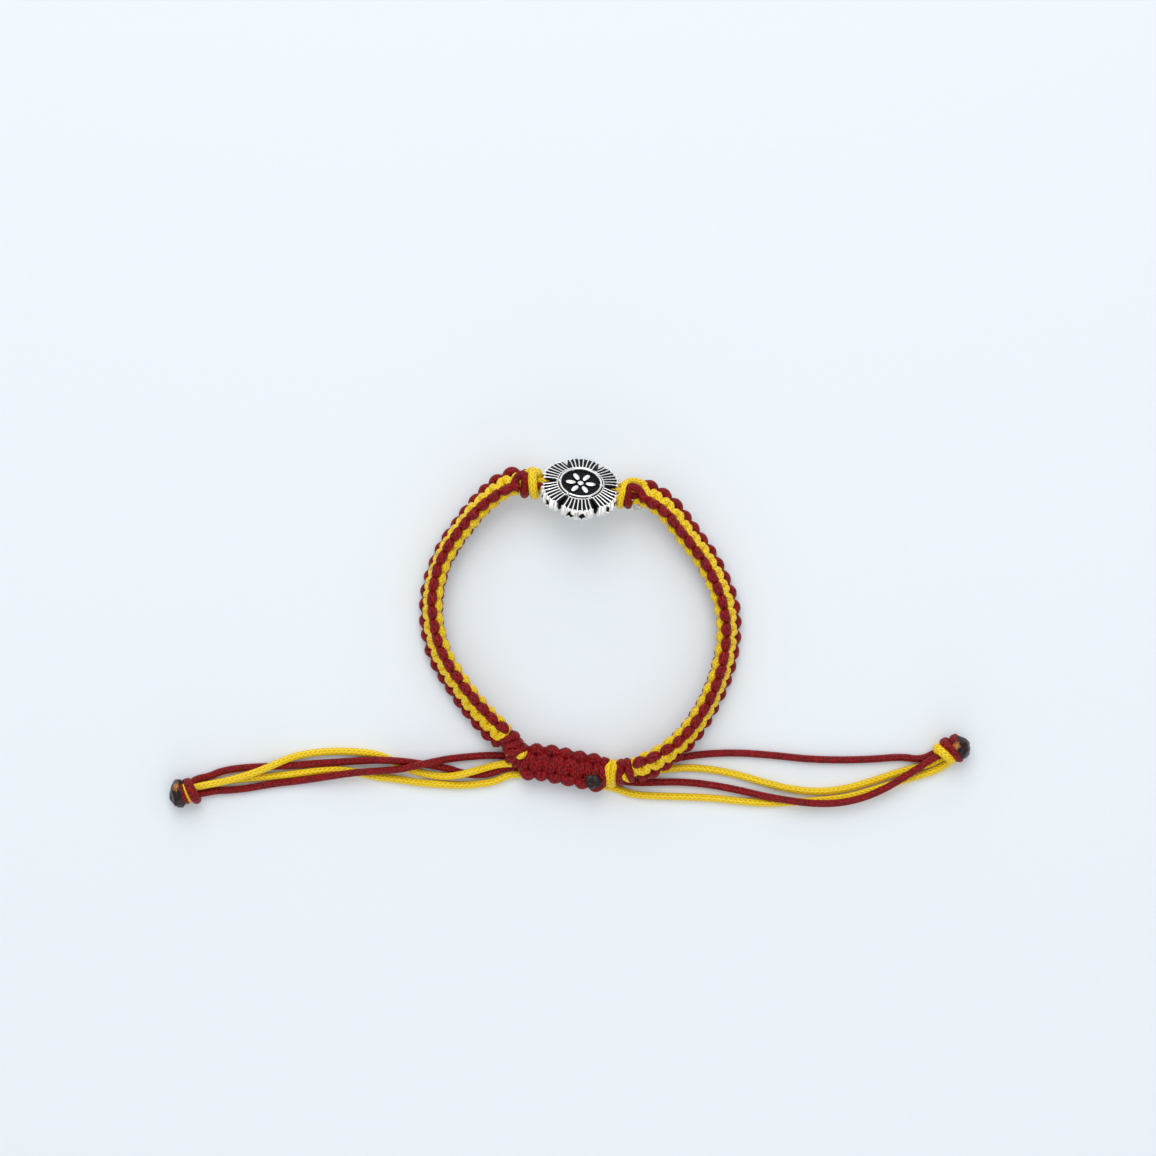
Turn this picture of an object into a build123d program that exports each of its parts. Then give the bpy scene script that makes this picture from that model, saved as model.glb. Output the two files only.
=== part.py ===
from build123d import *
from math import cos, pi, radians, sin, tan
import os

# A rakhi: a thread bracelet with a cast flower bead, two square-knotted arms,
# a sliding knot that closes the loop, and two tails of four loose cords.
# It lies on a table. X runs across the loop, Y from the sliding knot to the bead, Z up.
# All lengths are in millimetres.

# The round nylon cord that everything is knotted from
cord_diameter = 1.5
cord_gap = 0.1             # clear space kept between pieces that touch on the real one
cord_rest = 0.77           # height of a cord's middle when it lies on the table
cord_stack = 1.59          # how much higher a cord lies when it crosses over another

# The loop, measured to the middle of the knotted arms
loop_half_width = 30.2
loop_half_depth = 29.6
loop_across = 0.11         # place of its middle, which centres the whole on the origin
loop_along = 0.27
bead_place = (-0.007, 0.932)     # shares of the loop's half width and half depth
slide_place = (-0.119, -1.0)

# The knotted arms
arm_width = 6.0
arm_thickness = 3.3
arm_knot_pitch = 2.85      # length of one full square knot
arm_edge_bump = 0.42       # how far each knot's side loop stands out
arm_bar_relief = 0.22      # how far each crossing bar stands out of the face

# The cast bead
bead_diameter = 16.2
bead_front = 2.05          # height of the medallion's floor over the bead's mid-plane
bead_back = 2.1
petal_edge_front = 1.25    # the same heights at the petals' tips
petal_edge_back = 1.15
petal_count = 6
petal_start = 30.0         # degrees from the thread hole to the first petal's middle
rib_count = 7              # cast ribs on each petal
rib_fan = 46.0             # degrees between a petal's first and last rib
rib_width = 0.3
rib_height = 0.28
medallion_diameter = 9.1   # over its rim
medallion_rim_width = 0.62
medallion_rim_height = 0.45
collar_width = 0.32        # the thin second ring outside the medallion's rim
collar_height = 0.2
motif_petals = 6
motif_petal_length = 2.1
motif_petal_width = 1.05
motif_height = 0.38
motif_eye = 1.3
thread_gap = 0.06          # clear space between the two core cords
thread_slot_width = 3.4
thread_slot_height = 1.8
bead_lean = 44.0           # degrees: 0 stands on edge, 90 lies flat
bead_turn = -7.0           # heading of the thread hole

# The cord turns beside the bead
wrap_width = 6.6
wrap_thickness = 4.8
wrap_clearance = 0.36      # clear space between turns, used up where the arm bends
arm_clearance = 0.5        # the same between the second turn and the arm
wrap_start = 0.95          # from the bead's side to the first turn's middle

# The glue drop beside the right-hand turns
glue_diameter = 2.0

# The stopper knots at the lower ends of the arms
stopper_core = 3.2
stopper_left_diameter = 4.8
stopper_right_diameter = 5.6
stopper_length = 4.4
stopper_stub = 1.9         # the bundle of cords between stopper and sliding knot
stopper_left_heading = 121.0     # from the sliding knot's end towards the arm
stopper_right_heading = 13.6
stopper_dip = 6.0          # degrees that it slopes down towards the sliding knot

# The sliding knot
slide_length = 17.4
slide_width = 7.6
slide_thickness = 4.5
slide_knot_pitch = 2.9
slide_edge_bump = 0.4
slide_bar_relief = 0.2
slide_heading = -9.0       # direction from its left end to its right end
slide_left_turn = 9.0      # its left end faces straight along X
slide_right_turn = -1.0
slide_tip_diameter = 3.7
slide_tip_height = 1.15
slide_tip_place = 0.88     # share of the sliding knot's length
slide_tip_across = 0.26    # share of its width, away from the loop
slide_tip_lean = 16.0

# The end knots and their melted tips
end_knot_core = 4.3
end_knot_diameter = 5.5
end_knot_length = 3.6
tip_ball = 2.5
tip_spread = 0.95

# Turns of cord round the knots: place along the knot as a share, slant and tip in degrees
stopper_turns = {
    "left": [(0.30, 12, 8), (0.68, -10, -6)],
    "right": [(0.26, -8, 6), (0.62, 16, -8)],
}
end_knot_turns = {
    "left": [(0.27, 10, 6), (0.70, -8, -6)],
    "right": [(0.30, -20, 8), (0.70, 12, -6)],
}
# Balls of a melted tip: sideways, up, and size as a share
tip_balls = [(1, 1, 1.0), (-1, 1, 0.94), (1, -1, 0.92), (-1, -1, 1.05)]

# Each arm's middle line, a row for each bend. across and along are shares of the loop's
# half width and half depth, rise is the height over its resting height in cord diameters,
# and lean is in degrees from upright, with the outer face looking up as it grows.
left_arm_rows = [
    # across, along, rise, lean
    (-0.377, 0.976, 1.95, 44),
    (-0.483, 0.953, 1.60, 38),
    (-0.626, 0.851, 0.95, 26),
    (-0.788, 0.669, 0.25, 16),
    (-0.937, 0.426, 0.00, 13),
    (-1.000, 0.135, 0.00, 18),
    (-0.957, -0.162, 0.00, 26),
    (-0.805, -0.436, 0.00, 32),
    (-0.609, -0.676, 0.15, 40),
]
left_arm_end = (0.45, 48)        # rise and lean where it meets the stopper knot
right_arm_rows = [
    (0.377, 0.899, 1.85, 42),
    (0.526, 0.824, 1.40, 38),
    (0.709, 0.608, 0.50, 31),
    (0.874, 0.368, 0.00, 28),
    (0.977, 0.074, 0.00, 27),
    (0.970, -0.203, 0.00, 22),
    (0.871, -0.507, 0.00, 18),
    (0.682, -0.791, 0.55, 24),
    (0.517, -0.922, 1.20, 36),
]
right_arm_end = (1.00, 45)

# A knotted band's cross-section: shares of its half width and half thickness.
# moved_by says what moves the point: a crossing bar, or the knot's outer or inner loop.
band_outline = [
    # width, thickness, moved_by
    (0.40, 1.00, "bar"),
    (0.84, 0.80, "outer loop"),
    (1.00, 0.25, "outer loop"),
    (1.00, -0.40, "inner loop"),
    (0.82, -0.86, "inner loop"),
    (0.40, -1.00, "bar"),
]

# A bead petal's outline: shares of the bead's radius, and of half the room a petal has
petal_outline = [
    # reach, half width
    (0.50, 0.62),
    (0.64, 0.65),
    (0.80, 0.71),
    (0.884, 0.65),
    (0.892, 0.54),
    (0.950, 0.45),
    (0.936, 0.33),
    (0.986, 0.23),
    (0.965, 0.11),
]

# The tail cords. Each row is a point of the cord's route, measured from the sliding
# knot's middle: x, y and over, the height over the table in crossings of other cords.
# leaves and enters give the places on the sliding knot's end and on the end knot's
# mouth (across, over), and the straight length there.
tails = {
    "tail_left_red_upper": {
        "side": "left", "leaves": (1.05, 0.0, 3.0), "enters": (-1.6, 0.1, 3.0),
        "route": [
            (-15.4, 2.5, 0), (-19.5, 2.2, 0), (-23.4, 1.8, 0.15), (-26.4, 1.3, 1.1),
            (-29.9, 0.5, 1.25), (-33.4, -0.3, 1.15), (-36.7, -0.6, 0.9), (-40.0, -0.8, 1.05),
            (-43.7, -1.1, 1.05), (-46.9, -1.6, 0.85), (-50.6, -2.2, 0.35), (-54.7, -2.8, 0),
            (-59.7, -3.35, 0), (-64.9, -4.3, 0), (-68.7, -4.7, 0),
        ],
    },
    "tail_left_red_lower": {
        "side": "left", "leaves": (-1.2, 0.05, 3.0), "enters": (1.58, 0.1, 2.4),
        "route": [
            (-14.6, -1.2, 0.1), (-17.4, -1.6, 0), (-20.5, -1.3, 0), (-23.4, -0.3, 0),
            (-26.0, 0.2, 0), (-30.1, 0.9, 0), (-33.8, 1.4, 1), (-37.9, 1.6, 1.05),
            (-41.6, 1.4, 0.2), (-46.1, 1.1, 0), (-51.5, 0.8, 0), (-56.4, 0.3, 0),
            (-61.3, 0.2, 0), (-66.6, -0.1, 0), (-70.5, -0.8, 0),
        ],
    },
    "tail_left_yellow_upper": {
        "side": "left", "leaves": (-0.45, 1.0, 2.6), "enters": (0.0, 1.1, 2.4),
        "route": [
            (-13.7, 0.6, 0.6), (-16.2, -0.1, 0.45), (-18.4, -0.7, 1.05), (-21.3, -1.5, 1.05),
            (-24.2, -1.9, 0.35), (-27.3, -1.6, 0), (-30.5, -0.8, 0), (-33.4, 0.3, 0),
            (-36.3, 2.0, 0), (-39.2, 2.9, 0), (-43.7, 3.3, 0), (-48.6, 3.3, 0),
            (-53.5, 2.7, 0), (-56.4, 1.9, 0.25), (-58.8, 0.9, 1.05), (-61.7, -0.4, 1.05),
            (-65.4, -1.7, 1.05), (-69.9, -2.9, 1.05),
        ],
    },
    "tail_left_yellow_lower": {
        "side": "left", "leaves": (-2.8, 0.1, 2.7), "enters": (0.0, 0.05, 2.2),
        "route": [
            (-13.7, -2.8, 0), (-17.0, -3.4, 0), (-20.9, -3.7, 0), (-25.2, -3.5, 0),
            (-29.7, -3.15, 0), (-34.2, -2.4, 0), (-38.3, -2.0, 0), (-41.6, -1.2, 0),
            (-44.7, -0.5, 0), (-48.2, -0.5, 0), (-52.3, -0.9, 0), (-56.8, -1.5, 0),
            (-61.7, -2.0, 0), (-66.6, -2.4, 0), (-70.3, -2.9, 0),
        ],
    },
    "tail_right_red_upper": {
        "side": "right", "leaves": (2.3, 0.02, 3.0), "enters": (1.75, 0.15, 3.6),
        "route": [
            (15.8, 0.7, 0), (20.3, 1.3, 0), (24.8, 2.2, 0), (30.1, 2.9, 0),
            (36.7, 3.0, 0), (43.5, 2.45, 0), (50.2, 1.7, 0), (57.2, 1.5, 0),
            (63.8, 1.7, 0), (69.5, 2.2, 0),
        ],
    },
    "tail_right_yellow_upper": {
        "side": "right", "leaves": (0.72, 0.02, 3.0), "enters": (0.1, 0.05, 2.6),
        "route": [
            (15.4, -1.1, 0), (19.9, -0.5, 0), (24.8, 0.0, 0), (29.7, -0.3, 0),
            (35.1, -1.3, 0), (40.8, -3.0, 0), (46.1, -4.4, 0), (52.3, -5.1, 0),
            (58.0, -4.4, 0), (62.9, -3.0, 0), (67.4, -1.5, 0), (71.5, -0.2, 0),
        ],
    },
    "tail_right_red_lower": {
        "side": "right", "leaves": (-0.86, 0.02, 2.8), "enters": (0.95, 1.02, 2.6),
        "route": [
            (15.0, -3.2, 0), (19.9, -3.0, 0), (25.2, -3.0, 0), (30.5, -3.6, 0),
            (36.3, -4.7, 0), (40.8, -5.8, 0.4), (44.9, -6.5, 1), (50.2, -7.3, 1),
            (56.0, -7.4, 1), (61.3, -6.3, 1), (65.8, -4.4, 1.05), (69.5, -2.2, 1.05),
            (72.6, -0.2, 1.05),
        ],
    },
    "tail_right_yellow_lower": {
        "side": "right", "leaves": (-2.45, 0.02, 2.4), "enters": (-1.5, 0.1, 2.6),
        "route": [
            (14.1, -5.6, 0), (19.1, -5.9, 0), (24.8, -6.0, 0), (31.0, -6.3, 0),
            (36.7, -7.0, 0), (42.0, -7.4, 0), (46.5, -7.2, 0), (51.5, -6.8, 0),
            (57.2, -6.3, 0), (62.1, -5.1, 0), (67.0, -3.5, 0), (71.3, -2.2, 0),
        ],
    },
}

# The mouths of the two end knots, measured from the sliding knot's middle: x, y,
# and the heading from the mouth back along the tail
end_mouths = {
    "left": (-74.6, -3.8, 12.0),
    "right": (77.5, 1.7, 208.0),
}

cord_radius = cord_diameter / 2
thread_spacing = cord_diameter + thread_gap


def heading_vector(degrees_from_x):
    """Level unit vector along a heading."""
    return Vector(cos(radians(degrees_from_x)), sin(radians(degrees_from_x)), 0)


def lean_axes(travel, outward_side, lean):
    """Outer-face normal and width direction of a band that travels along a direction."""
    level_out = travel.cross(Vector(0, 0, 1)).normalized() * outward_side
    upright = Vector(0, 0, 1) - travel * travel.Z
    upright = upright.normalized()
    normal = level_out * cos(radians(lean)) + upright * sin(radians(lean))
    width = upright * cos(radians(lean)) - level_out * sin(radians(lean))
    return normal, width


def resting_height(width, thickness, lean):
    """Height of a leaning band's middle when its lower edge is on the table."""
    edge = width / 2 * cos(radians(lean))
    face = thickness / 2 * sin(radians(lean))
    return edge + face


def between(places, values, at):
    """Value at a place between listed ones, in straight lines."""
    for k in range(len(places) - 1):
        if at <= places[k + 1]:
            share = (at - places[k]) / (places[k + 1] - places[k])
            return values[k] + (values[k + 1] - values[k]) * max(share, 0)
    return values[-1]


def faceted_solid(rings):
    """Closed solid of flat triangles through rings of points, with flat ends."""
    faces = []
    count = len(rings[0])
    for near, far in zip(rings, rings[1:]):
        for k in range(count):
            a, b = near[k], near[(k + 1) % count]
            c, d = far[(k + 1) % count], far[k]
            faces.append(Face(Wire.make_polygon([a, b, c])))
            faces.append(Face(Wire.make_polygon([a, c, d])))
    faces.append(Face(Wire.make_polygon(rings[0])))
    faces.append(Face(Wire.make_polygon(rings[-1])))
    return Solid(Shell(faces))


def band_ring(centre, normal, width_way, sizes, turn):
    """One cross-section of a knotted band, at a share turn of a knot's length."""
    width, thickness, edge_bump, bar_relief = sizes
    outer_loop = edge_bump * cos(2 * pi * turn)
    bar = bar_relief * cos(4 * pi * turn)
    points = []
    for edge in (1, -1):
        rows = band_outline if edge == 1 else reversed(band_outline)
        for across, through, moved_by in rows:
            push = lift = 0
            if moved_by == "bar":
                lift = bar
            elif moved_by == "outer loop":
                push = outer_loop * edge
            else:
                push = -outer_loop * edge
            a = edge * (across * width / 2 + push / 2 - edge_bump / 2)
            b = through * thickness / 2 + lift
            points.append(centre + width_way * a + normal * b)
    return points


def knotted_band(path, start, end, sizes, pitch, outward_side, lean_at):
    """A square-knotted band along a path, from one length along it to another."""
    steps_per_knot = 4
    steps = max(2, round((end - start) / pitch * steps_per_knot))
    rings = []
    for k in range(steps + 1):
        at = start + (end - start) * k / steps
        share = at / path.length
        centre, travel = path.position_at(share), path.tangent_at(share)
        normal, width_way = lean_axes(travel, outward_side, lean_at(share))
        rings.append(band_ring(centre, normal, width_way, sizes, k / steps_per_knot))
    return faceted_solid(rings)


def flower_bead():
    """The cast bead, round its own middle: thread slot along X, front face up."""
    radius = bead_diameter / 2
    rim_out = medallion_diameter / 2
    rim_in = rim_out - medallion_rim_width
    collar_in = rim_out + collar_width / 2
    collar_out = collar_in + collar_width
    profile = Polyline(
        (0, -bead_back),
        (rim_out, -bead_back),
        (radius, -petal_edge_back),
        (radius, petal_edge_front),
        (collar_out, bead_front),
        (collar_out, bead_front + collar_height),
        (collar_in, bead_front + collar_height),
        (collar_in, bead_front),
        (rim_out, bead_front),
        (rim_out, bead_front + medallion_rim_height),
        (rim_in, bead_front + medallion_rim_height),
        (rim_in, bead_front),
        (0, bead_front),
        close=True,
    )
    body = revolve(Plane.XZ * make_face(profile), Axis.Z)
    body = body & petal_prism(radius)
    ribs = petal_ribs(radius, collar_out)
    motif = medallion_motif()
    body = body + ribs + motif
    slot = Plane.YZ * SlotOverall(thread_slot_width, thread_slot_height)
    return body - extrude(slot, amount=bead_diameter, both=True)


def petal_prism(radius):
    """The bead's outline from the front: petals with scalloped tips."""
    room = radius * tan(pi / petal_count)
    upper = [(reach * radius, half * room) for reach, half in petal_outline]
    lower = [(x, -y) for x, y in reversed(upper)]
    petal = make_face(Polyline(*upper, *lower, close=True))
    outline = Circle(radius * petal_outline[0][0] * 1.16)
    for k in range(petal_count):
        outline += Rot(Z=petal_start + 360 / petal_count * k) * petal
    return extrude(outline, amount=bead_diameter / 2, both=True)


def petal_ribs(radius, inner_reach):
    """Raised ribs that fan out over every petal."""
    slope = (bead_front - petal_edge_front) / (radius - inner_reach)
    ribs = []
    for petal in range(petal_count):
        for rib in range(rib_count):
            fan = rib / (rib_count - 1) - 0.5
            reach = radius * (0.95 - 0.15 * abs(fan) ** 1.5)
            inner = inner_reach + cord_gap
            low = bead_front - slope * (inner - inner_reach)
            high_end = bead_front - slope * (reach - inner_reach)
            side = Polyline(
                (inner, low - rib_height),
                (reach, high_end - rib_height),
                (reach, high_end + rib_height / 2),
                (reach - rib_height, high_end + rib_height + slope * rib_height),
                (inner, low + rib_height),
                close=True,
            )
            bar = extrude(Plane.XZ * make_face(side), amount=rib_width / 2, both=True)
            turn = petal_start + 360 / petal_count * petal + fan * rib_fan
            ribs.append(Rot(Z=turn) * bar)
    return ribs


def medallion_motif():
    """A plain six-petalled rosette, raised in the medallion."""
    floor = Plane.XY.offset(bead_front - motif_height / 2)
    pieces = [extrude(floor * Circle(motif_eye / 2), amount=motif_height * 1.5)]
    for k in range(motif_petals):
        petal = Ellipse(motif_petal_length / 2, motif_petal_width / 2)
        middle = motif_eye / 2 + motif_petal_length / 2 + cord_gap
        petal = Rot(Z=360 / motif_petals * k) * Pos(middle, 0) * petal
        pieces.append(extrude(floor * petal, amount=motif_height * 1.5))
    return pieces


def cord_tube(points):
    """A cord of round section: straight runs joined by tangent arcs."""
    runs = [(b - a).length for a, b in zip(points, points[1:])]
    radii = []
    for k in range(1, len(points) - 1):
        turn = (points[k] - points[k - 1]).get_angle(points[k + 1] - points[k])
        radii.append(0.45 * min(runs[k - 1], runs[k]) / tan(radians(turn) / 2))
    if radii:
        path = FilletPolyline(*points, radius=radii)
    else:
        path = Line(points[0], points[1])
    start = Plane(points[0], z_dir=points[1] - points[0])
    tube = sweep(start * Circle(cord_radius), path=path)
    expected = pi * cord_radius ** 2 * path.length
    return tube, radii, path.length, tube.volume / expected


def cord_ring(middle, travel, normal, width_way, width, thickness):
    """One closed turn of cord, long across the band and round at its ends."""
    bend = (thickness - cord_diameter) / 2
    straight = width - thickness
    plane = Plane(middle, x_dir=width_way, z_dir=travel)
    line = plane * SlotOverall(straight + 2 * bend, 2 * bend).wire()
    start = Plane(line @ 0, z_dir=line % 0)
    return sweep(start * Circle(cord_radius), path=line)


def half_space(origin, outward):
    """All that lies beyond a plane, as a large box."""
    reach = 4 * loop_half_width
    block = Box(reach, reach, reach, align=(Align.CENTER, Align.CENTER, Align.MIN))
    return Plane(origin, z_dir=outward).location * block


def wrapped_knot(core, diameter, length, turns, spare):
    """A knot from 0 along +X: a bundle with slanting turns of cord round it.

    The bundle runs on past both ends by a spare length, for trimming."""
    knot = Pos(length / 2, 0, 0) * Rot(Y=90) * Cylinder(core / 2, length + 2 * spare)
    for place, slant, tip in turns:
        ring = Torus(diameter / 2 - cord_radius, cord_radius)
        knot += Pos(place * length, 0, 0) * Rot(Z=slant, Y=tip) * Rot(Y=90) * ring
    return knot


def seat_points(face, outward, seat):
    """First two points of a cord that leaves a face squarely."""
    across, over, straight = seat
    side = Vector(0, 0, 1).cross(outward)
    side = side if side.Y > 0 else side * -1
    start = face + side * across + Vector(0, 0, cord_rest + over * cord_stack)
    return [start, start + outward * straight]


def melted_tip(ball, spread, places):
    """Melted cord ends along +X from 0: fused balls with a flat back."""
    tip = Sphere(ball / 2 * 0.9)
    for y, z, share in places:
        tip += Pos(ball * 0.2, y * spread, z * spread) * Sphere(ball / 2 * share)
    keep = Box(ball * 3, ball * 4, ball * 4, align=(Align.MIN, Align.CENTER, Align.CENTER))
    return tip & keep


def loop_point(across, along):
    """A point of the table, from shares of the loop's half width and half depth."""
    return Vector(loop_across + across * loop_half_width, loop_along + along * loop_half_depth, 0)


def arm_height(rise, lean):
    """Height of an arm's middle, from its rise in cord diameters and its lean."""
    height = resting_height(arm_width, arm_thickness, lean) + rise * cord_diameter
    return Vector(0, 0, height)


def arm_path(hole_exit, exit_heading, rows, end, end_form):
    """Middle line of one arm, from the bead's side to the stopper knot."""
    points = [hole_exit]
    for across, along, rise, lean in rows:
        points.append(loop_point(across, along) + arm_height(rise, lean))
    points.append(end + arm_height(*end_form))
    path = Spline(*points, tangents=[exit_heading, points[-1] - points[-2]])
    runs = [(b - a).length for a, b in zip(points, points[1:])]
    places = [sum(runs[:k]) / sum(runs) for k in range(len(points))]
    leans = [bead_lean] + [row[3] for row in rows] + [end_form[1]]
    return path, lambda share: between(places, leans, share)


def placed(piece, origin, along):
    """A piece made along +X, moved to an origin and turned along a direction."""
    side = Vector(0, 0, 1).cross(along).normalized()
    return Plane(origin, x_dir=along, z_dir=along.cross(side)).location * piece


def write(node, piece):
    """Store one piece under its own name."""
    export_step(piece, f"parts/{node}.step")
    made[node] = piece


os.makedirs("parts", exist_ok=True)
made = {}

# The sliding knot's middle and its two end faces
slide_middle = loop_point(*slide_place)
slide_way = heading_vector(slide_heading)
slide_faces = {
    "left": (slide_middle - slide_way * (slide_length / 2),
             heading_vector(slide_heading + slide_left_turn) * -1),
    "right": (slide_middle + slide_way * (slide_length / 2),
              heading_vector(slide_heading + slide_right_turn)),
}

# The bead, set down with its lowest petal on the table
hole_way = heading_vector(bead_turn)
bead_normal, bead_width_way = lean_axes(hole_way, -1, bead_lean)
bead = flower_bead()
bead_middle = loop_point(*bead_place)
bead = Plane(bead_middle, x_dir=hole_way, z_dir=bead_normal).location * bead
bead_rise = Vector(0, 0, -bead.bounding_box().min.Z)
bead_middle += bead_rise
write("flower_bead", Pos(bead_rise) * bead)

# The two arms with the turns of cord beside the bead
arm_sizes = (arm_width, arm_thickness, arm_edge_bump, arm_bar_relief)
wrap_pitch = cord_diameter + wrap_clearance
arm_start = wrap_start + wrap_pitch + cord_radius + arm_clearance
arm_forms = {
    "left": (left_arm_rows, left_arm_end, stopper_left_heading, -1),
    "right": (right_arm_rows, right_arm_end, stopper_right_heading, 1),
}
arms = {}
for side, (rows, end_form, stopper_heading, sign) in arm_forms.items():
    hole_exit = bead_middle + hole_way * (bead_diameter / 2 * sign)
    stopper_way = heading_vector(stopper_heading)
    arm_end = slide_faces[side][0] + stopper_way * (stopper_length + stopper_stub)
    path, lean_at = arm_path(hole_exit, hole_way * sign, rows, arm_end, end_form)
    arms[side] = (path, lean_at, -sign)
    write(f"band_{side}", knotted_band(path, arm_start, path.length, arm_sizes,
                                       arm_knot_pitch, -sign, lean_at))
    for k, colour in enumerate(("yellow", "red")):
        share = (wrap_start + wrap_pitch * k) / path.length
        travel = path.tangent_at(share)
        normal, width_way = lean_axes(travel, -sign, lean_at(share))
        write(f"{colour}_wrap_{side}", cord_ring(path.position_at(share), travel, normal,
                                                 width_way, wrap_width, wrap_thickness))

# The two core cords, side by side through the bead and up to the arms
thread_reach = arm_start - arm_clearance / 2
for name, offset in (("outer", thread_spacing / 2), ("inner", -thread_spacing / 2)):
    thread_points = []
    for side, order in (("left", (thread_reach, 0)), ("right", (0, thread_reach))):
        path, lean_at, outward_side = arms[side]
        for length_along in order:
            share = length_along / path.length
            normal, width_way = lean_axes(path.tangent_at(share), outward_side, lean_at(share))
            thread_points.append(path.position_at(share) + width_way * offset)
    tube, radii, length, fill = cord_tube(thread_points)
    print(f"bead_thread_{name}: length {length:.1f}, volume over section times length {fill:.4f}")
    write(f"bead_thread_{name}", tube)

# The drop of glue on the inner face, just past the right-hand turns
path, lean_at, outward_side = arms["right"]
glue_share = (arm_start + glue_diameter * 0.4) / path.length
normal, width_way = lean_axes(path.tangent_at(glue_share), outward_side, lean_at(glue_share))
glue_depth = arm_thickness / 2 + arm_bar_relief + glue_diameter / 2 + cord_gap
write("glue_drop", Pos(path.position_at(glue_share) - normal * glue_depth)
      * Sphere(glue_diameter / 2))

# The sliding knot
slide_height = Vector(0, 0, slide_thickness / 2 + slide_bar_relief)
left_face, left_outward = slide_faces["left"]
right_face, right_outward = slide_faces["right"]
slide_path = Spline(left_face + slide_height, right_face + slide_height,
                    tangents=[left_outward * -1, right_outward])
slide_sizes = (slide_width, slide_thickness, slide_edge_bump, slide_bar_relief)
write("sliding_knot", knotted_band(slide_path, 0, slide_path.length, slide_sizes,
                                   slide_knot_pitch, 1, lambda share: 90))

# Its melted cord end, a low dome on the upper face near the right end
dome_radius = ((slide_tip_diameter / 2) ** 2 + slide_tip_height ** 2) / (2 * slide_tip_height)
dome = Pos(0, 0, slide_tip_height - dome_radius) * Sphere(dome_radius)
dome = dome & half_space(Vector(0, 0, 0), Vector(0, 0, 1))
tip_travel = slide_path.tangent_at(slide_tip_place)
tip_side = tip_travel.cross(Vector(0, 0, 1)).normalized()
tip_seat = (slide_path.position_at(slide_tip_place) + tip_side * (slide_width * slide_tip_across)
            + slide_height - Vector(0, 0, cord_gap / 2))
tip_up = (Vector(0, 0, 1) * cos(radians(slide_tip_lean)) + tip_side * sin(radians(slide_tip_lean)))
write("sliding_knot_tip", Plane(tip_seat, x_dir=tip_travel, z_dir=tip_up).location * dome)

# The stopper knots, each trimmed between the end of an arm and the sliding knot
for side, diameter in (("left", stopper_left_diameter), ("right", stopper_right_diameter)):
    path = arms[side][0]
    travel = path.tangent_at(1)
    start = path.position_at(1) + travel * cord_gap
    face, outward = slide_faces[side]
    level_way = Vector(travel.X, travel.Y, 0).normalized()
    axis = level_way * cos(radians(stopper_dip)) - Vector(0, 0, 1) * sin(radians(stopper_dip))
    knot = wrapped_knot(stopper_core, diameter, stopper_length, stopper_turns[side],
                        stopper_stub * 2)
    knot = placed(knot, start, axis) & half_space(start, travel)
    write(f"band_knot_{side}", knot & half_space(face + outward * cord_gap, outward))

# The end knots with their melted tips
mouths = {}
for side, (x, y, heading) in end_mouths.items():
    mouth = slide_middle + Vector(x, y, 0)
    tailward = heading_vector(heading)
    mouths[side] = (mouth, tailward)
    seat = mouth + Vector(0, 0, end_knot_diameter / 2)
    back = seat - tailward * end_knot_length
    knot = wrapped_knot(end_knot_core, end_knot_diameter, end_knot_length,
                        end_knot_turns[side], cord_diameter)
    knot = placed(knot, seat, tailward * -1)
    write(f"end_knot_{side}", knot & half_space(seat, tailward * -1) & half_space(back, tailward))
    tip = melted_tip(tip_ball, tip_spread, tip_balls)
    write(f"melted_tip_{side}", placed(tip, back - tailward * cord_gap, tailward * -1))

# The tail cords
for name, tail in tails.items():
    face, outward = slide_faces[tail["side"]]
    mouth, tailward = mouths[tail["side"]]
    points = seat_points(face, outward, tail["leaves"])
    points += [slide_middle + Vector(x, y, cord_rest + over * cord_stack)
               for x, y, over in tail["route"]]
    points += reversed(seat_points(mouth, tailward, tail["enters"]))
    tube, radii, length, fill = cord_tube(points)
    print(f"{name}: length {length:.1f}, radii " + " ".join(f"{r:.0f}" for r in radii)
          + f", smallest {min(radii):.1f}, volume over section times length {fill:.4f}")
    write(name, tube)
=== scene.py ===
import bmesh
import bpy
import math
import numpy as np
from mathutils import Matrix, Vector, noise


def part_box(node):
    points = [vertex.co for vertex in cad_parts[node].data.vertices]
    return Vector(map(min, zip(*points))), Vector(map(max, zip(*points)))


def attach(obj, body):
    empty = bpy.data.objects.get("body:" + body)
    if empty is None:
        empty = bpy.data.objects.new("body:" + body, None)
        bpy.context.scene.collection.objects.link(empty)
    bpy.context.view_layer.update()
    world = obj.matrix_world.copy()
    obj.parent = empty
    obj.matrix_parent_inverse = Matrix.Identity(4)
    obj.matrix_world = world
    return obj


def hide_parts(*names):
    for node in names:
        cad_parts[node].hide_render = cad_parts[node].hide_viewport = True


# A rakhi, dressed for its picture: a cast flower bead between two square-knotted
# arms of red and yellow nylon cord, a sliding knot that closes the loop, and two
# tails of four loose cords. Sizes are in millimetres here and go into Blender's
# metres when a mesh is made. X runs across the loop, Y from the sliding knot to
# the bead, Z up from the table, as in the CAD model.
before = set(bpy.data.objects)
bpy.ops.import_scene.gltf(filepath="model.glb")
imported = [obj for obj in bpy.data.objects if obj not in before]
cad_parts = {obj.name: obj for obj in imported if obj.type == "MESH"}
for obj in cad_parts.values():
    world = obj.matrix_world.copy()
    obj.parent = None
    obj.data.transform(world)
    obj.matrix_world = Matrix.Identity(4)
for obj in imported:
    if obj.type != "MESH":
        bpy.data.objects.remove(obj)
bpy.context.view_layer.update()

# The camera hangs over the table and looks straight down, as in the photograph.
# Its picture takes in 237 mm of the table from side to side.
MM = 0.001
camera_over = (-0.5, 9.6)
camera_height = 900.0
picture_width = 237.0
picture_level = 3.0              # height of the cords that the width is measured at
camera_data = bpy.data.cameras.new("camera")
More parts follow.
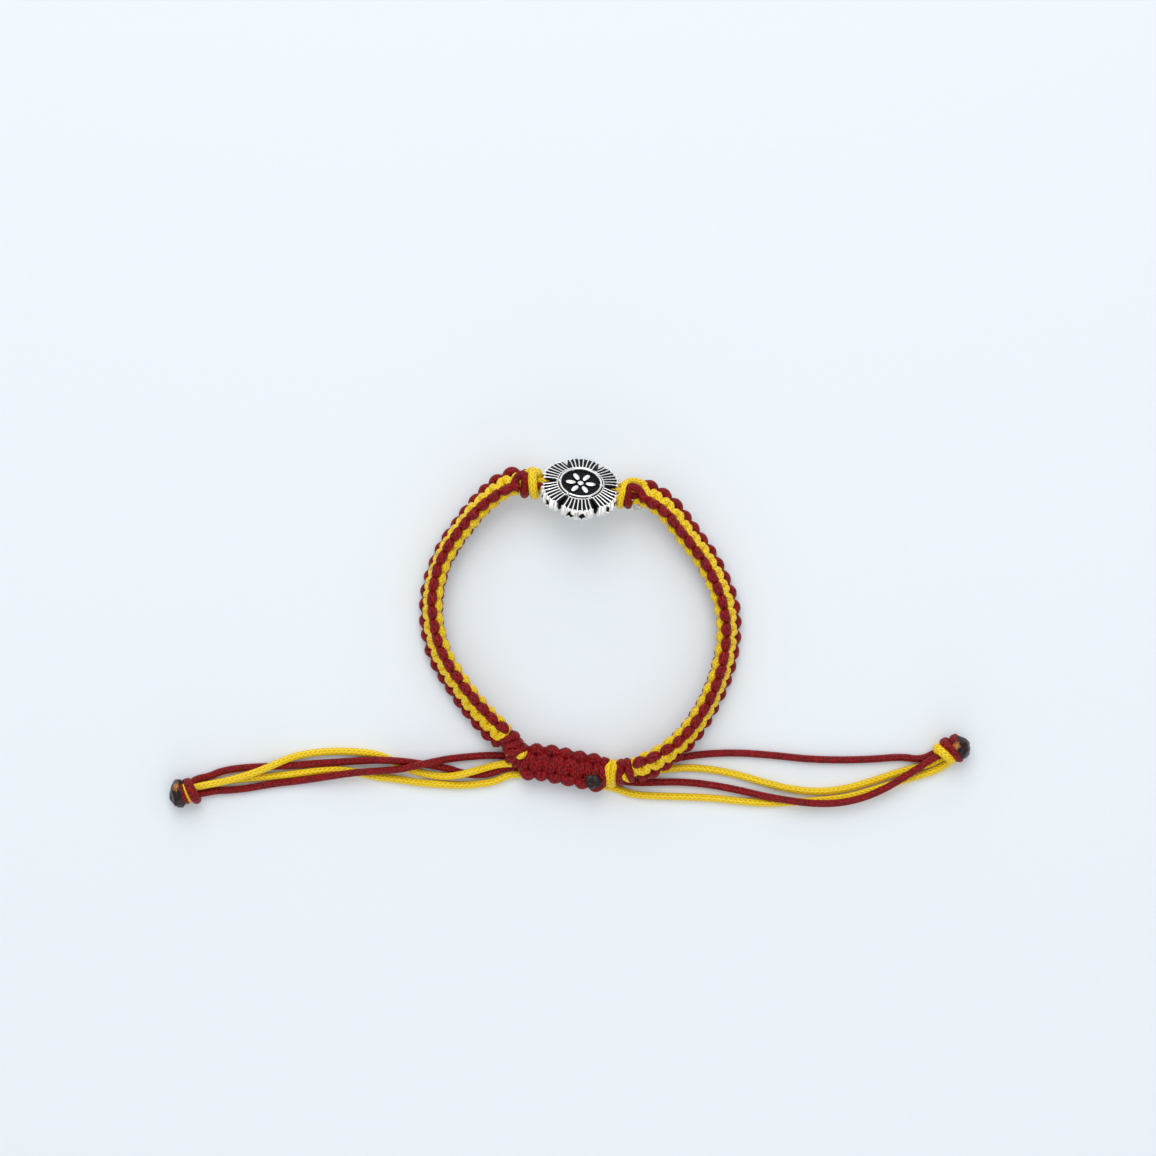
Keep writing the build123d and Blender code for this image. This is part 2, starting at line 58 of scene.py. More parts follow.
camera_data.sensor_width = 36.0
camera_data.lens = 36.0 * (camera_height - picture_level) / picture_width
camera_data.clip_start = 0.01
camera = bpy.data.objects.new("camera", camera_data)
camera.location = (camera_over[0] * MM, camera_over[1] * MM, camera_height * MM)
bpy.context.scene.collection.objects.link(camera)
bpy.context.scene.camera = camera


def linear_colour(code):
    """An sRGB hex value as Blender's linear colour."""
    parts = [int(code[k:k + 2], 16) / 255 for k in (1, 3, 5)]
    return [c / 12.92 if c <= 0.04045 else ((c + 0.055) / 1.055) ** 2.4 for c in parts] + [1.0]


def add_node(tree, kind, settings, inputs):
    """Adds a node with its settings, and sets or links its inputs."""
    node = tree.nodes.new(kind)
    for name, value in settings.items():
        setattr(node, name, value)
    for name, value in inputs.items():
        if isinstance(value, bpy.types.NodeSocket):
            tree.links.new(value, node.inputs[name])
        else:
            node.inputs[name].default_value = value
    return node


def calculate(tree, operation, *values):
    """The result of a maths node."""
    return add_node(tree, "ShaderNodeMath", {"operation": operation},
                    dict(enumerate(values))).outputs[0]


def grain(tree, scale, detail=2.0):
    """Noise over the object, its scale counted per metre."""
    place = add_node(tree, "ShaderNodeTexCoord", {}, {})
    return add_node(tree, "ShaderNodeTexNoise", {}, {
        "Vector": place.outputs["Object"], "Scale": scale, "Detail": detail}).outputs["Fac"]


def bump(tree, height, strength, distance):
    """The normal of a surface that a height disturbs. distance is in metres."""
    return add_node(tree, "ShaderNodeBump", {}, {
        "Height": height, "Strength": strength, "Distance": distance}).outputs["Normal"]


def mix_colours(tree, share, first, second):
    """A colour between two linear colours or colour sockets."""
    return add_node(tree, "ShaderNodeMix", {"data_type": "RGBA"}, {
        "Factor": share, 6: first, 7: second}).outputs[2]


def coat(tree, shader):
    """Puts a shader on the material's surface."""
    add_node(tree, "ShaderNodeOutputMaterial", {}, {"Surface": shader.outputs[0]})


def new_material(name):
    """An empty material with its node tree."""
    material = bpy.data.materials.new(name)
    material.use_nodes = True
    material.node_tree.nodes.clear()
    return material, material.node_tree


# The table is a sheet of matt white paper with a faint blue cast. Its grain is too
# fine to see, so it only breaks the light a little.
paper, tree = new_material("matt_white_paper")
paper_skin = add_node(tree, "ShaderNodeBsdfPrincipled", {}, {
    "Base Color": linear_colour("#F0F5F9"), "Roughness": 0.9, "Specular IOR Level": 0.2,
    "Normal": bump(tree, grain(tree, 900.0, 3.0), 0.08, 0.0001)})
coat(tree, paper_skin)
table_mesh = bpy.data.meshes.new("table_top")
table_mesh.from_pydata([(-2, -2, 0), (2, -2, 0), (2, 2, 0), (-2, 2, 0)], [], [(0, 1, 2, 3)])
table_mesh.materials.append(paper)
table_top = bpy.data.objects.new("table_top", table_mesh)
bpy.context.scene.collection.objects.link(table_top)

# Soft studio light: a bright white room, and a large soft lamp beyond the bead,
# which throws the soft shadows towards the sliding knot.
world = bpy.data.worlds.new("white_room")
world.use_nodes = True
world.node_tree.nodes["Background"].inputs["Color"].default_value = linear_colour("#F2F6FA")
world.node_tree.nodes["Background"].inputs["Strength"].default_value = 0.68
bpy.context.scene.world = world
bpy.context.scene.view_settings.view_transform = "Standard"


def soft_lamp(name, place, size, power):
    """A square area lamp, in metres, turned towards the loop's middle."""
    lamp = bpy.data.lights.new(name, "AREA")
    lamp.size = size
    lamp.energy = power
    holder = bpy.data.objects.new(name, lamp)
    holder.location = place
    x, y, z = place
    holder.rotation_euler = (math.atan2(math.hypot(x, y), z), 0, math.atan2(x, -y))
    bpy.context.scene.collection.objects.link(holder)


soft_lamp("lamp_beyond_bead", (-0.1, 0.7, 0.95), 0.85, 5.0)
soft_lamp("lamp_overhead", (0.3, -0.1, 1.2), 0.8, 1.3)
soft_lamp("white_card_beyond", (0.0, 0.95, 0.16), 0.7, 1.4)
soft_lamp("white_card_before", (0.0, -0.9, 0.16), 0.7, 1.3)

# The tails: eight loose ends of round braided nylon cord, 1.5 mm thick, red and
# yellow. Each leaves the sliding knot, wanders over the table and its neighbours,
# and ends in one of the two end knots.
cord_diameter = 1.5
cord_rest = 0.77                 # height of a cord's middle when it lies on the table
cord_stack = 1.59                # and how much each cord below it adds
cord_sides = 16
hidden_sides = 12                # of strands in the knots and cords that hardly show
cord_spacing = 0.15              # between the rings of a cord's skin
knot_spacing = 0.2               # and in the square knots
hidden_spacing = 0.3
braid_slant = 1.1                # stitches that a braid's slant climbs over one column
braid_offset = 0.5               # and by which neighbouring columns are out of step


def unit(ways):
    """The same directions with length one."""
    return ways / np.linalg.norm(ways, axis=-1, keepdims=True)


def run_along(line):
    """Length along a line at each of its points."""
    return np.concatenate(([0], np.cumsum(np.linalg.norm(np.diff(line, axis=0), axis=1))))


def heading_vector(degrees_from_x):
    """Level unit vector along a heading."""
    return np.array((math.cos(math.radians(degrees_from_x)),
                     math.sin(math.radians(degrees_from_x)), 0.0))


def evenly_spaced(line, spacing):
    """The same line with its points at even distances."""
    run = run_along(line)
    count = max(2, int(round(run[-1] / spacing)) + 1)
    at = np.linspace(0, run[-1], count)
    return np.stack([np.interp(at, run, line[:, axis]) for axis in range(3)], axis=1)


def route_line(name, points):
    """The smooth line of a cord's route, read from a NURBS spline. In metres."""
    curve = bpy.data.curves.new(name + "_route", "CURVE")
    curve.dimensions = "3D"
    spline = curve.splines.new("NURBS")
    spline.points.add(len(points) - 1)
    for control, point in zip(spline.points, points):
        control.co = (*point, 1.0)
    spline.order_u = 3
    spline.use_endpoint_u = True
    spline.resolution_u = 30
    holder = bpy.data.objects.new(name + "_route", curve)
    mesh = bpy.data.meshes.new_from_object(holder)
    line = np.array([vertex.co for vertex in mesh.vertices])
    bpy.data.objects.remove(holder)
    bpy.data.meshes.remove(mesh)
    bpy.data.curves.remove(curve)
    return line


def braid_height(column, stitch):
    """Height of the braid's surface from 0 in a gap to 1 on a stitch."""
    share = column % 1.0
    odd = np.floor(column) % 2
    lean = np.where(odd > 0.5, 1 - share, share)
    along = (stitch + braid_slant * lean + braid_offset * odd) % 1.0
    rounded = 0.7 + 0.3 * np.sqrt(np.sin(math.pi * share))
    return rounded * np.sqrt(np.sin(math.pi * along))


def ring_faces(rings, sides):
    """Ring and side of the four-sided faces between rings of points, then the faces
    themselves and the two that close the ends."""
    ring, side = np.meshgrid(np.arange(rings - 1), np.arange(sides), indexing="ij")
    after = (side + 1) % sides
    faces = np.stack([ring * sides + side, ring * sides + after,
                      (ring + 1) * sides + after, (ring + 1) * sides + side], axis=-1)
    ends = [list(range(sides))[::-1], [(rings - 1) * sides + k for k in range(sides)]]
    return ring, side, faces.reshape(-1, 4), ends


def cord_skin(line, diameter, sides, relief=0.04, columns=8, stitch_length=1.0):
    """Points, faces and braid places of the skin round a cord's middle line.

    columns of stitches run along the cord, each stitch stitch_length long.
    """
    ways = unit(np.gradient(line, axis=0))
    side = np.cross(ways[0], (0.0, 0.0, 1.0))
    if np.linalg.norm(side) < 0.1:
        side = np.cross(ways[0], (0.0, 1.0, 0.0))
    rights = np.empty_like(line)
    for k, way in enumerate(ways):
        side = unit(side - way * (side @ way))
        rights[k] = side
    ups = np.cross(rights, ways)
    angle = np.arange(sides) / sides * 2 * math.pi
    run = run_along(line)
    column = np.arange(sides + 1) / sides * columns
    stitch = run / stitch_length
    height = braid_height(column[None, :-1] + 0.001, stitch[:, None])
    radius = np.reshape(diameter, (-1, 1)) / 2 + relief * (height - 0.6)
    points = (line[:, None, :]
              + (radius * np.cos(angle))[..., None] * rights[:, None, :]
              + (radius * np.sin(angle))[..., None] * ups[:, None, :])
    ring, number, faces, ends = ring_faces(len(line), sides)
    places = np.stack([np.stack([column[number + right], stitch[ring + up]], axis=-1)
                       for right, up in ((0, 0), (1, 0), (1, 1), (0, 1))], axis=-2)
    return points.reshape(-1, 3), faces, places.reshape(-1, 2), ends


def add_piece(name, mesh, material, node):
    """An object of a mesh, in place of a CAD node."""
    mesh.polygons.foreach_set("use_smooth", [True] * len(mesh.polygons))
    mesh.materials.append(material)
    mesh.update()
    piece = bpy.data.objects.new(name, mesh)
    bpy.context.scene.collection.objects.link(piece)
    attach(piece, "root")
    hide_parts(node)
    return piece


def make_piece(name, skins, material, node):
    """A piece from skins in millimetres.

    A skin is its points, its four-sided faces, their places on the braid, and its
    two end faces.
    """
    points, faces, places, first = [], [], [], 0
    for skin_points, skin_faces, skin_places, ends in skins:
        points.extend(skin_points.tolist())
        faces.extend((skin_faces + first).tolist())
        places.append(skin_places)
        for end in ends:
            faces.append([first + k for k in end])
            places.append(np.zeros((len(end), 2)))
        first += len(skin_points)
    mesh = bpy.data.meshes.new(name)
    mesh.from_pydata((np.array(points) * MM).tolist(), [], faces)
    layer = mesh.uv_layers.new(name="braid")
    layer.data.foreach_set("uv", np.concatenate(places).ravel())
    return add_piece(name, mesh, material, node)


def braided_nylon(name, colour, deep_colour, painted_gap_shade, specular, sheen_colour):
    """Nylon filament braided over itself: V stitches with painted shade in the gaps between them,
    and a satin shine.

    The braid's places count columns round the cord and stitches along it.
    """
    material, tree = new_material(name)
    braid = add_node(tree, "ShaderNodeUVMap", {"uv_map": "braid"}, {})
    split = add_node(tree, "ShaderNodeSeparateXYZ", {}, {0: braid.outputs["UV"]})
    share = calculate(tree, "FRACT", split.outputs["X"])
    odd = calculate(tree, "MODULO", calculate(tree, "FLOOR", split.outputs["X"]), 2.0)
    lean = calculate(tree, "ABSOLUTE", calculate(tree, "SUBTRACT", odd, share))
    slanted = calculate(tree, "MULTIPLY_ADD", lean, braid_slant, split.outputs["Y"])
    along = calculate(tree, "FRACT", calculate(tree, "MULTIPLY_ADD", odd, braid_offset, slanted))
    along_sine = calculate(tree, "SINE", calculate(tree, "MULTIPLY", along, math.pi))
    share_sine = calculate(tree, "SINE", calculate(tree, "MULTIPLY", share, math.pi))
    apart = calculate(tree, "SUBTRACT", 1.0, along_sine)
    height = calculate(tree, "SUBTRACT", 1.0, calculate(tree, "MULTIPLY", apart, share_sine))
    blend = add_node(tree, "ShaderNodeMapRange", {}, {
        "Value": grain(tree, 2400.0), "From Min": 0.38, "From Max": 0.62})
    uneven = calculate(tree, "MULTIPLY_ADD", grain(tree, 6500.0), 0.5, -0.25)
    shaded = add_node(tree, "ShaderNodeMath", {"operation": "ADD", "use_clamp": True},
                      {0: height, 1: uneven})
    body = mix_colours(tree, blend.outputs["Result"], linear_colour(deep_colour),
                       linear_colour(colour))
    # Painted shade: where the braid's height is low, in the gaps between stitches, the colour is
    # darkened towards the gap shade.
    steps = add_node(tree, "ShaderNodeMapRange", {"interpolation_type": "SMOOTHSTEP"}, {
        "Value": shaded.outputs[0], "From Min": 0.1, "From Max": 0.75})
    surface = mix_colours(tree, steps.outputs["Result"], linear_colour(painted_gap_shade), body)
    skin = add_node(tree, "ShaderNodeBsdfPrincipled", {}, {
        "Base Color": surface, "Roughness": 0.42, "IOR": 1.53,
        "Specular IOR Level": specular, "Sheen Weight": 0.04, "Sheen Roughness": 0.4,
        "Sheen Tint": linear_colour(sheen_colour),
        "Normal": bump(tree, shaded.outputs[0], 0.9, 0.00018)})
    coat(tree, skin)
    return material


red_nylon = braided_nylon("red_braided_nylon", "#A80A11", "#66050B", "#260105", 0.2, "#C04050")
yellow_nylon = braided_nylon("yellow_braided_nylon", "#FFE200", "#FFCE00", "#DA9200", 0.4,
                             "#FFE060")
cord_looks = {"red": (red_nylon, "red_cord"), "yellow": (yellow_nylon, "yellow_cord")}


def cord_piece(name, skins, colour, node):
    """A piece of red or yellow cord, in place of a CAD node."""
    material, slot = cord_looks[colour]
    return make_piece(name, skins, material, node)


# Where the sliding knot and the end knots lie, as in the CAD model. Each face and
# mouth has the level way that leads out of it.
slide_middle = np.array((-3.484, -29.330, 0.0))
slide_way = heading_vector(-9.0)
slide_half_length = 8.7
slide_faces = {
    "left": (slide_middle - slide_way * slide_half_length, heading_vector(0.0) * -1),
    "right": (slide_middle + slide_way * slide_half_length, heading_vector(-10.0)),
}
end_mouths = {
    "left": (slide_middle + (-74.6, -3.8, 0.0), heading_vector(12.0)),
    "right": (slide_middle + (77.5, 1.7, 0.0), heading_vector(208.0)),
}

# Each row is a point of a cord's route from the sliding knot's middle: x, y, and
# how many cords it lies over. leaves and enters are the place across and over the
# knot's face, and the straight length there. length is that of the CAD model's cord.
tails = {
    "tail_left_red_upper": {
        "leaves": (1.05, 0.0, 3.0), "enters": (-1.6, 0.1, 3.0), "length": 66.7,
        "route": [
            (-15.4, 2.5, 0), (-19.5, 2.2, 0), (-23.4, 1.8, 0.15), (-26.4, 1.3, 1.1),
            (-29.9, 0.5, 1.25), (-33.4, -0.3, 1.15), (-36.7, -0.6, 0.9), (-40.0, -0.8, 1.05),
            (-43.7, -1.1, 1.05), (-46.9, -1.6, 0.85), (-50.6, -2.2, 0.35), (-54.7, -2.8, 0),
            (-59.7, -3.35, 0), (-64.9, -4.3, 0), (-68.7, -4.7, 0),
        ],
    },
    "tail_left_red_lower": {
        "leaves": (-1.2, 0.05, 3.0), "enters": (1.58, 0.1, 2.4), "length": 67.7,
        "route": [
            (-14.6, -1.2, 0.1), (-17.4, -1.6, 0), (-20.5, -1.3, 0), (-23.4, -0.3, 0),
            (-26.0, 0.2, 0), (-30.1, 0.9, 0), (-33.8, 1.4, 1), (-37.9, 1.6, 1.05),
            (-41.6, 1.4, 0.2), (-46.1, 1.1, 0), (-51.5, 0.8, 0), (-56.4, 0.3, 0),
            (-61.3, 0.2, 0), (-66.6, -0.1, 0), (-70.5, -0.8, 0),
        ],
    },
    "tail_left_yellow_upper": {
        "leaves": (-0.45, 1.0, 2.6), "enters": (0.0, 1.1, 2.4), "length": 68.9,
        "route": [
            (-13.7, 0.6, 0.6), (-16.2, -0.1, 0.45), (-18.4, -0.7, 1.05), (-21.3, -1.5, 1.05),
            (-24.2, -1.9, 0.35), (-27.3, -1.6, 0), (-30.5, -0.8, 0), (-33.4, 0.3, 0),
            (-36.3, 2.0, 0), (-39.2, 2.9, 0), (-43.7, 3.3, 0), (-48.6, 3.3, 0),
            (-53.5, 2.7, 0), (-56.4, 1.9, 0.25), (-58.8, 0.9, 1.05), (-61.7, -0.4, 1.05),
            (-65.4, -1.7, 1.05), (-69.9, -2.9, 1.05),
        ],
    },
    "tail_left_yellow_lower": {
        "leaves": (-2.8, 0.1, 2.7), "enters": (0.0, 0.05, 2.2), "length": 66.8,
        "route": [
            (-13.7, -2.8, 0), (-17.0, -3.4, 0), (-20.9, -3.7, 0), (-25.2, -3.5, 0),
            (-29.7, -3.15, 0), (-34.2, -2.4, 0), (-38.3, -2.0, 0), (-41.6, -1.2, 0),
            (-44.7, -0.5, 0), (-48.2, -0.5, 0), (-52.3, -0.9, 0), (-56.8, -1.5, 0),
            (-61.7, -2.0, 0), (-66.6, -2.4, 0), (-70.3, -2.9, 0),
        ],
    },
    "tail_right_red_upper": {
        "leaves": (2.3, 0.02, 3.0), "enters": (1.75, 0.15, 3.6), "length": 68.3,
        "route": [
            (15.8, 0.7, 0), (20.3, 1.3, 0), (24.8, 2.2, 0), (30.1, 2.9, 0),
            (36.7, 3.0, 0), (43.5, 2.45, 0), (50.2, 1.7, 0), (57.2, 1.5, 0),
            (63.8, 1.7, 0), (69.5, 2.2, 0),
        ],
    },
    "tail_right_yellow_upper": {
        "leaves": (0.72, 0.02, 3.0), "enters": (0.1, 0.05, 2.6), "length": 70.4,
        "route": [
            (15.4, -1.1, 0), (19.9, -0.5, 0), (24.8, 0.0, 0), (29.7, -0.3, 0),
            (35.1, -1.3, 0), (40.8, -3.0, 0), (46.1, -4.4, 0), (52.3, -5.1, 0),
            (58.0, -4.4, 0), (62.9, -3.0, 0), (67.4, -1.5, 0), (71.5, -0.2, 0),
        ],
    },
    "tail_right_red_lower": {
        "leaves": (-0.86, 0.02, 2.8), "enters": (0.95, 1.02, 2.6), "length": 71.6,
        "route": [
            (15.0, -3.2, 0), (19.9, -3.0, 0), (25.2, -3.0, 0), (30.5, -3.6, 0),
            (36.3, -4.7, 0), (40.8, -5.8, 0.4), (44.9, -6.5, 1), (50.2, -7.3, 1),
            (56.0, -7.4, 1), (61.3, -6.3, 1), (65.8, -4.4, 1.05), (69.5, -2.2, 1.05),
            (72.6, -0.2, 1.05),
        ],
    },
    "tail_right_yellow_lower": {
        "leaves": (-2.45, 0.02, 2.4), "enters": (-1.5, 0.1, 2.6), "length": 71.5,
        "route": [
            (14.1, -5.6, 0), (19.1, -5.9, 0), (24.8, -6.0, 0), (31.0, -6.3, 0),
            (36.7, -7.0, 0), (42.0, -7.4, 0), (46.5, -7.2, 0), (51.5, -6.8, 0),
            (57.2, -6.3, 0), (62.1, -5.1, 0), (67.0, -3.5, 0), (71.3, -2.2, 0),
        ],
    },
}

# Inside an end knot the tails draw together: length behind its mouth, then the
# share of their spread that is left across and over the gathering height.
gather_height = np.array((0.0, 0.0, 2.7))
gather_rows = ((0.9, 0.9, 0.7), (2.4, 0.45, 0.35))


def seat_points(face, outward, seat):
    """First two points of a cord that leaves a knot's face squarely."""
    across, over, straight = seat
    side = np.cross((0.0, 0.0, 1.0), outward)
    side = side if side[1] > 0 else -side
    start = face + side * across + (0.0, 0.0, cord_rest + over * cord_stack)
    return [start, start + outward * straight]


tail_lines = {}
for name, tail in tails.items():
    side, colour = name.split("_")[1:3]
    points = seat_points(*slide_faces[side], tail["leaves"])
    points += [slide_middle + (x, y, cord_rest + over * cord_stack)
               for x, y, over in tail["route"]]
    points += reversed(seat_points(*end_mouths[side], tail["enters"]))
    mouth, tailward = end_mouths[side]
    spread = points[-1] - mouth - gather_height
    for behind, level_share, height_share in gather_rows:
        points.append(mouth + spread * (level_share, level_share, height_share)
                      + gather_height - tailward * behind)
    line = route_line(name, np.array(points) * MM) / MM
    line = evenly_spaced(line, cord_spacing)
    tail_lines[name] = line
    cord_piece(
        name + "_cord", [cord_skin(line, cord_diameter, cord_sides)], colour, name)

# The bead: a flower of white metal cast in one piece, silver plated and blackened
# with an oxide that is polished off its ridges. Six ribbed petals stand round a
# medallion, which holds a plain six-petalled rosette.
bead_radius = 8.35
bead_lean = 44.0                 # degrees that the bead's front leans back from upright
bead_back = 2.1                  # depth of the back behind the middle plane
petal_edge_back = 1.15           # and of the petals' back edges
petal_count = 6
petal_ribs = 7
petal_fan = 47.0                 # degrees between a petal's first and last rib
petal_inner_height = 1.5         # the petals' floor at the medallion, over the middle plane
petal_outer_height = 0.95        # and at their tips
rib_width = 0.35
rib_height = 0.11
notch_start = 25.6               # degrees from a petal's middle to the notch beside it
notch_depth = 0.32               # as a share of the bead's radius
medallion_radius = 4.45
rim_width = 0.52
outer_ring = 4.74                # radius of the fine ring outside the rim
rosette_petals = 6
rosette_eye = 1.5                # width of the rosette's middle
rosette_reach = 2.05             # from the middle to the middle of a rosette petal
rosette_petal = (1.25, 0.66)     # half length and half width
wall_hollows = (
    # angle from a petal's middle, share of the wall at its tip and its foot, half width
    (-9.8, 0.1, 0.86, 7.6),
    (8.0, 0.06, 0.9, 7.0),
)
bead_turns = 640                 # points round the bead
front_rings = 90
side_rings = 26
back_rings = 26
half_room = 180 / petal_count    # degrees from a petal's middle to halfway to the next
rib_step = petal_fan / (petal_ribs - 1)
hole_way = heading_vector(-7.0)
bead_out = np.array((-hole_way[1], hole_way[0], 0.0))
bead_normal = (bead_out * math.cos(math.radians(bead_lean))
               + np.array((0.0, 0.0, 1.0)) * math.sin(math.radians(bead_lean)))
bead_width_way = np.cross(bead_normal, hole_way)


def ridge(distance, width):
    """A rounded ridge: 1 on its middle, 0 from half its width outwards."""
    return np.clip(1 - (np.abs(distance) / (width / 2)) ** 2, 0, 1) ** 0.5


def step_up(value, low, high):
    """0 below low, 1 above high, smooth between."""
    share = np.clip((value - low) / (high - low), 0, 1)
    return share * share * (3 - 2 * share)


def petal_angle(angle):
    """Degrees from the middle of the nearest petal."""
    return np.degrees(angle) % (2 * half_room) - half_room


def bead_outline(angle):
    """The flower's edge, from its middle, at an angle in radians."""
    off = np.abs(petal_angle(angle))
    notch = notch_depth * np.clip((off - notch_start) / (half_room - notch_start), 0, 1)
    points = 0.065 * np.abs(np.sin(math.pi * off / rib_step)) * (1 - step_up(off, 22, 24))
    return bead_radius * (1 - 0.07 * (off / 24) ** 4 - notch - points)


def bead_face(reach, angle):
    """Height of the front over the bead's middle plane, and how dark the oxide is."""
    off = petal_angle(angle)
    edge = bead_outline(angle)
    slope = np.clip((reach - outer_ring) / (bead_radius - outer_ring), 0, 1)
    floor = petal_inner_height + (petal_outer_height - petal_inner_height) * slope
    bowed = off * (1 + 0.07 * np.sin(math.pi * slope))
    from_rib = (bowed / rib_step + petal_ribs / 2) % 1.0 - 0.5
    rib = ridge(np.radians(from_rib * rib_step) * reach, rib_width * (0.72 + 0.4 * slope))
    rib = rib * (np.abs(off) < petal_fan / 2 + 1.5)
    low_side = (1 - np.sin(angle)) / 2
    border = ridge(edge - reach - 0.05, 0.16 + 0.22 * low_side) * (np.abs(off) < notch_start)
    raised = np.maximum(rib, border) * step_up(reach, outer_ring, outer_ring + 0.15)
    raised = np.maximum(raised, ridge(reach - outer_ring, 0.22) * 0.9)
    height = floor + rib_height * raised
    rim = ridge(reach - medallion_radius + rim_width / 2, rim_width)
    height = np.where(rim > 0, petal_inner_height + 0.4 * rim, height)
    raised = np.maximum(raised, rim)
    x, y = reach * np.cos(angle), reach * np.sin(angle)
    motif = ridge(reach, rosette_eye)
    for k in range(rosette_petals):
        turn = math.radians(360 / rosette_petals * k)
        along = x * math.cos(turn) + y * math.sin(turn)
        across = -x * math.sin(turn) + y * math.cos(turn)
        size = (((along - rosette_reach) / rosette_petal[0]) ** 2
                + (across / rosette_petal[1]) ** 2)
        motif = np.maximum(motif, np.clip(1 - size, 0, 1) ** 0.5)
    inside = reach < medallion_radius - rim_width
    height = np.where(inside, petal_inner_height - 0.2 + 0.5 * motif, height)
    raised = np.where(inside, motif, raised)
    return height, 1 - step_up(raised, 0.4, 0.8)


def bead_mesh():
    """Rings of points over the front, the side and the back of the bead."""
    angle = np.arange(bead_turns) / bead_turns * 2 * math.pi
    edge = bead_outline(angle)
    rings, dark = [], []
    for share in np.linspace(0.012, 1.0, front_rings):
        reach = edge * share
        height, oxide = bead_face(reach, angle)
        rings.append((reach, height))
        dark.append(oxide)
    front_height = rings[-1][1]
    off = petal_angle(angle)
    for share in np.linspace(0.04, 0.96, side_rings):
        height = front_height * (1 - share) - petal_edge_back * share
        bulge = 0.14 * math.sin(math.pi * share)
        hollow = np.zeros(bead_turns)
        for middle, low, high, wide in wall_hollows:
            half = wide * (share - low) / (high - low)
            inside = np.minimum(half - np.abs(off - middle), (high - share) / 0.06)
            hollow = np.maximum(hollow, step_up(inside, 0.0, 1.0))
        rings.append((edge + bulge - 0.3 * hollow, height))
        dark.append(np.maximum(hollow, step_up(np.abs(off), notch_start, notch_start + 1.5)))
    for share in np.linspace(1.0, 0.012, back_rings):
        reach = edge * share
        slope = np.clip(reach / bead_radius, 0, 1)
        height = -bead_back + (bead_back - petal_edge_back) * slope ** 1.5
        from_rib = (off / rib_step + petal_ribs / 2) % 1.0 - 0.5
        rib = ridge(np.radians(from_rib * rib_step) * reach, rib_width * 1.2)
        rib = rib * step_up(reach, 3.2, 3.8) * step_up(edge - reach, 0.3, 0.6)
        rings.append((reach, height - 0.12 * rib))
        dark.append((1 - rib) * 0.7 * step_up(reach, 3.2, 3.8) * step_up(edge - reach, 0.2, 0.5))
    points = []
    for reach, height in rings:
        points.append(reach[:, None] * (np.cos(angle)[:, None] * hole_way
                                        + np.sin(angle)[:, None] * bead_width_way)
                      + height[:, None] * bead_normal)
    faces, ends = ring_faces(len(rings), bead_turns)[2:]
    faces = faces[:, [0, 3, 2, 1]]   # turned over, as these rings run inwards
    ends = [end[::-1] for end in ends]
    return np.concatenate(points), faces, ends, np.concatenate(dark)


def antique_silver():
    """Plated white metal: bright worn ridges over black oxide in the recesses."""
    material, tree = new_material("oxidised_silver_plate")
    oxide = add_node(tree, "ShaderNodeAttribute", {"attribute_name": "oxide"}, {})
    patches = grain(tree, 1400.0, 4.0)
    uneven = calculate(tree, "MULTIPLY_ADD", patches, 0.5, -0.25)
    dark = add_node(tree, "ShaderNodeMath", {"operation": "ADD", "use_clamp": True},
                    {0: oxide.outputs["Fac"], 1: uneven})
    worn = add_node(tree, "ShaderNodeMapRange", {"interpolation_type": "SMOOTHSTEP"}, {
        "Value": dark.outputs[0], "From Min": 0.3, "From Max": 0.7})
    shine = add_node(tree, "ShaderNodeMapRange", {}, {
        "Value": patches, "To Min": 0.25, "To Max": 0.45})
    scratches = bump(tree, grain(tree, 5000.0, 3.0), 0.25, 0.00003)
    metal = add_node(tree, "ShaderNodeBsdfPrincipled", {}, {
        "Base Color": linear_colour("#FEFDFB"), "Metallic": 1.0,
        "Roughness": shine.outputs["Result"], "Normal": scratches})
    black = add_node(tree, "ShaderNodeBsdfPrincipled", {}, {
        "Base Color": linear_colour("#060608"), "Roughness": 0.5,
        "Specular IOR Level": 0.15, "Normal": scratches})
    coat(tree, add_node(tree, "ShaderNodeMixShader", {}, {
        0: worn.outputs["Result"], 1: metal.outputs["BSDF"], 2: black.outputs["BSDF"]}))
    return material


bead_points, bead_faces, bead_ends, bead_oxide = bead_mesh()
bead_middle = np.array((-0.101, 27.857, -bead_points[:, 2].min()))
bead_skin = (bead_points + bead_middle, bead_faces, np.zeros((len(bead_faces) * 4, 2)), bead_ends)
bead_piece = make_piece("cast_flower_bead", [bead_skin], antique_silver(),
                        "flower_bead")
oxide_layer = bead_piece.data.attributes.new("oxide", "FLOAT", "POINT")
oxide_layer.data.foreach_set("value", bead_oxide)

# The two arms: square knots of a red and a yellow cord over core cords. In each
# half knot the yellow cord crosses the outer face and the red one the inner face,
# so the upper edge is a chain of red bumps and the lower one a row of red scallops.
arm_width = 6.0
arm_thickness = 3.3
arm_knot_pitch = 2.85
arm_strands = {"yellow": 1.42, "red": 1.55}
arm_swell = 0.45                 # how much thicker a strand is where it isn't pulled tight
arm_cords_half_width = 2.35      # of the cords' middle lines
arm_cords_half_depth = 1.12
knot_columns = 10                # pulled into a knot, the braid spreads and shortens
knot_stitch = 0.75
knot_relief = 0.03
hand_scatter = 0.05              # of the points of the knots' cords
loop_middle = (0.11, 0.27)
loop_half_width = 30.2
loop_half_depth = 29.6
arm_start = 4.06

